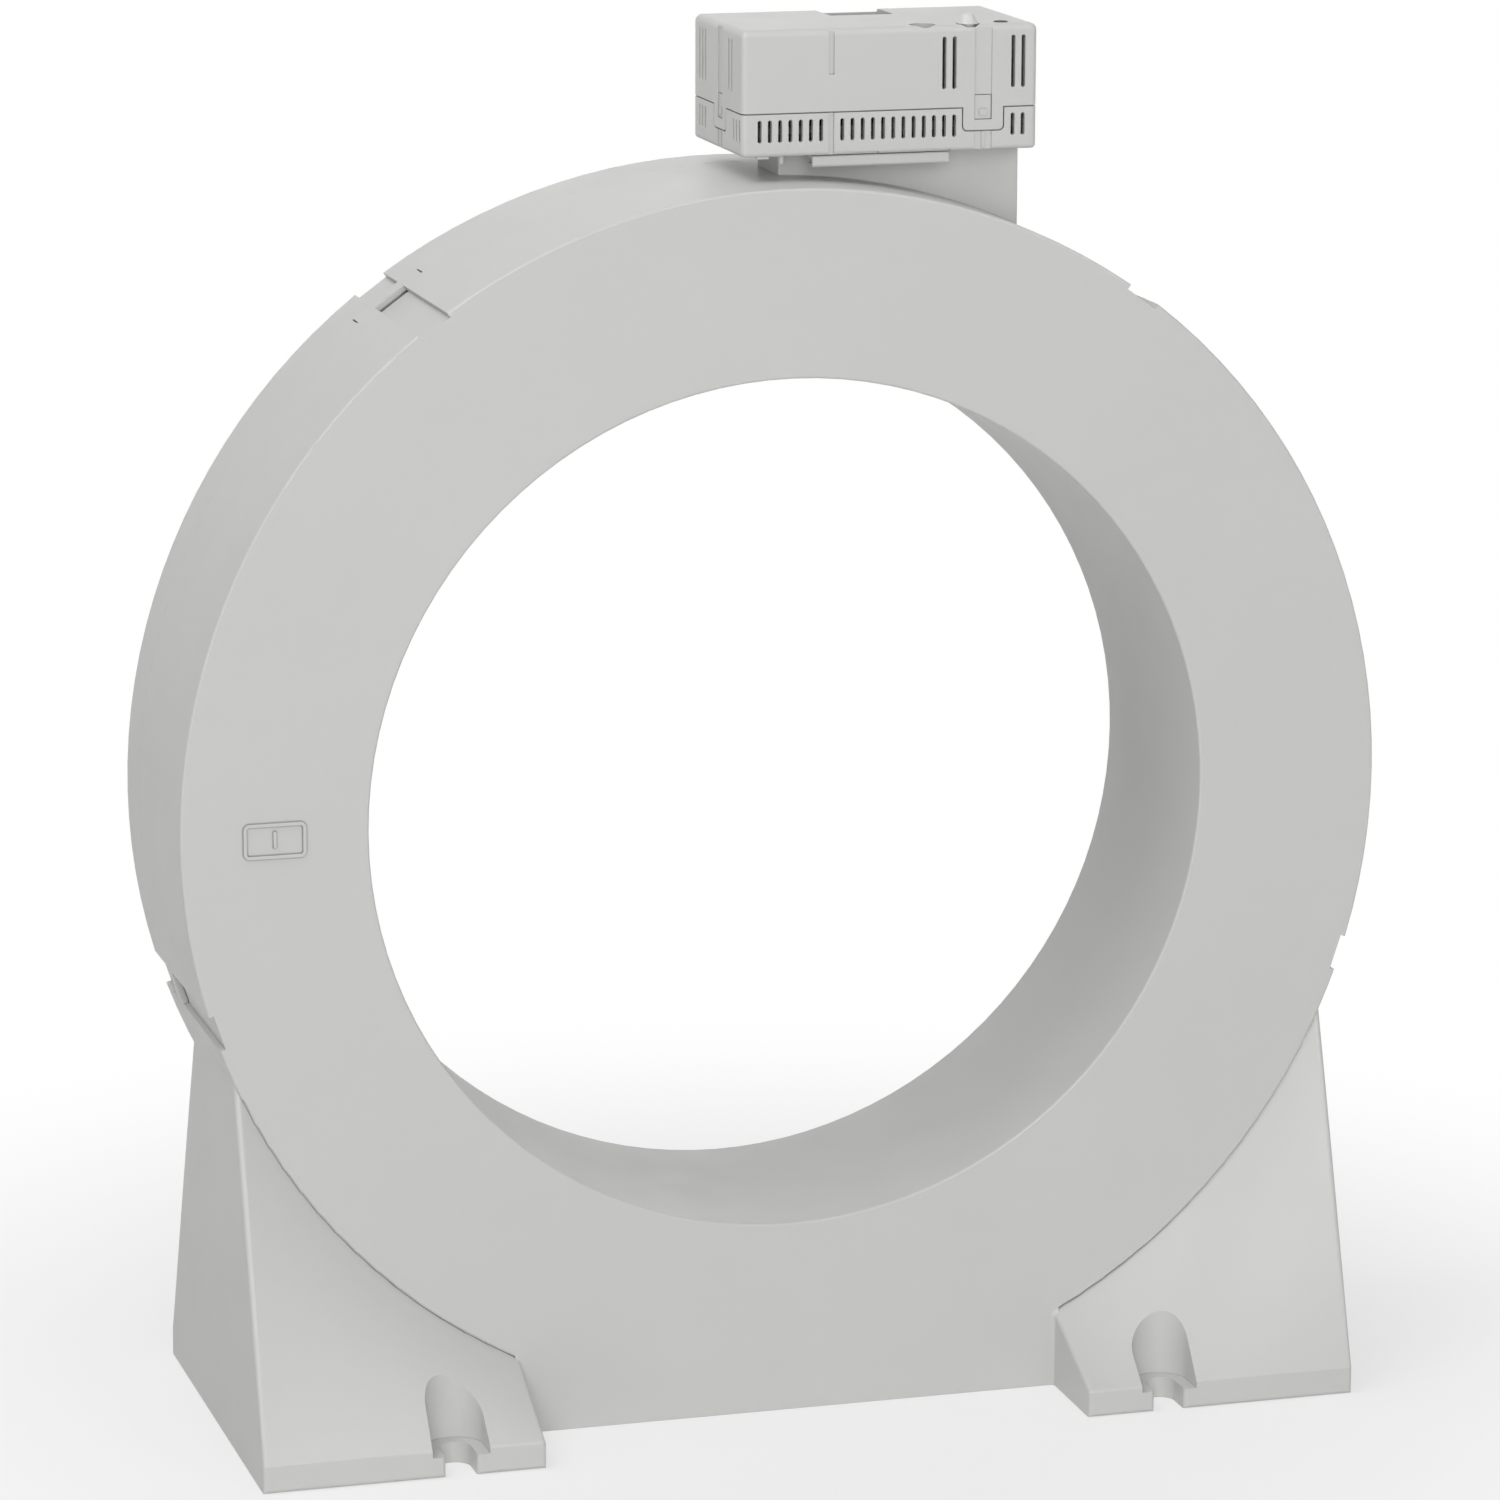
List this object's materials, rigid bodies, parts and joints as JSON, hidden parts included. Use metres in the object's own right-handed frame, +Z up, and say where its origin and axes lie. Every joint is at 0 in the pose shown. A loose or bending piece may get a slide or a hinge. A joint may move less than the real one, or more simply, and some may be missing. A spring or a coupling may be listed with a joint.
{
  "type": "toroidal current transformer",
  "caption": "Light grey ring-core residual current transformer on two screw-down feet, with a wide round bore and a small vented electronics module clipped on top.",
  "frame": {"origin": "centre of the base's footprint on the mounting plane", "axes": "+Y along the bore's axis from the front face to the rear cover, +Z up to the module, +X to the right seen from the front"},
  "size_m": [0.3012, 0.112, 0.3422],
  "materials": {
    "housing_grey": "fine-grained light grey moulding",
    "screen_steel": "rolled sheet",
    "pad_foam": "closed-cell foam",
    "case_black": "glass-filled moulding",
    "strip_metal": "wound strip, edges on view",
    "winding_copper": "enamelled copper wire",
    "lead_red": "insulated wire",
    "connector_white": "moulded connector",
    "board_green": "solder-resist",
    "screw_steel": "plated",
    "header_grey": "moulded connector",
    "pin_tin": "tinned",
    "lamp_green": "cast resin",
    "lens_smoke": "smoked lens",
    "switch_black": "moulded",
    "button_pale": "smooth moulding",
    "can_sleeve": "shrink sleeve",
    "ferrite": "pressed ferrite",
    "chip_black": "moulded epoxy"
  },
  "bodies": {
    "transformer": {"housing_front": "housing_grey", "housing_rear": "housing_grey", "outer_screen": "screen_steel", "inner_screen": "screen_steel", "front_core_pad": "pad_foam", "rear_core_pad": "pad_foam", "core_case": "case_black", "core_case_lid": "case_black", "tape_core": "strip_metal", "secondary_winding": "winding_copper", "winding_leads": "lead_red", "core_plug": "connector_white", "core_header": "connector_white", "module_base": "housing_grey", "module_cover": "housing_grey", "lock_bar": "housing_grey", "main_board": "board_green", "board_screws": "screw_steel", "terminal_header": "header_grey", "terminal_pins": "pin_tin", "status_led": "lamp_green", "light_pipe": "lens_smoke", "tact_switch": "switch_black", "supply_capacitors": "can_sleeve", "supply_choke": "ferrite", "choke_coil": "winding_copper", "controller_chip": "chip_black", "driver_chip": "chip_black"},
    "button": {"test_button": "button_pale", "switch_plunger": "switch_black"}
  },
  "joints": [
    {"name": "test_button_press", "type": "slide", "parent": "transformer", "child": "button", "axis": [0, 0, -1], "range_m": [0, 0.0005], "stiffness_N_per_m": 800}
  ]
}
